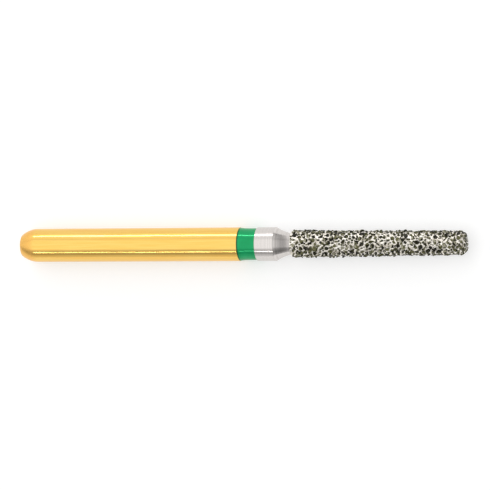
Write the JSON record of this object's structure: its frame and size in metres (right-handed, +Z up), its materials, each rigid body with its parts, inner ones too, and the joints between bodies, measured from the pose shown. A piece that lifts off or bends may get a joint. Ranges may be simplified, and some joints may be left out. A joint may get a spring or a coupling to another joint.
{
  "type": "dental bur",
  "caption": "Friction-grip diamond bur: gold-plated straight shank with rounded butt, green band, steel collar and neck, tapered flat-end head coated with coarse diamond grit.",
  "frame": {"origin": "centre of the flat butt face, on the tool's axis", "axes": "+X along the tool's axis from the butt to the head's flat end, +Z up, the bur lying level"},
  "size_m": [0.0217, 0.0016, 0.0016],
  "materials": {
    "steel": "bright turned stainless steel",
    "gold": "polished gold plating",
    "green_lacquer": "glossy lacquer",
    "nickel": "bright lumpy electroplated nickel",
    "diamond": "faceted olive-green crystals"
  },
  "bodies": {
    "root": {"steel_blank": "steel", "gold_plating": "gold", "colour_band": "green_lacquer", "nickel_bond": "nickel", "diamond_grit": "diamond"}
  },
  "joints": []
}
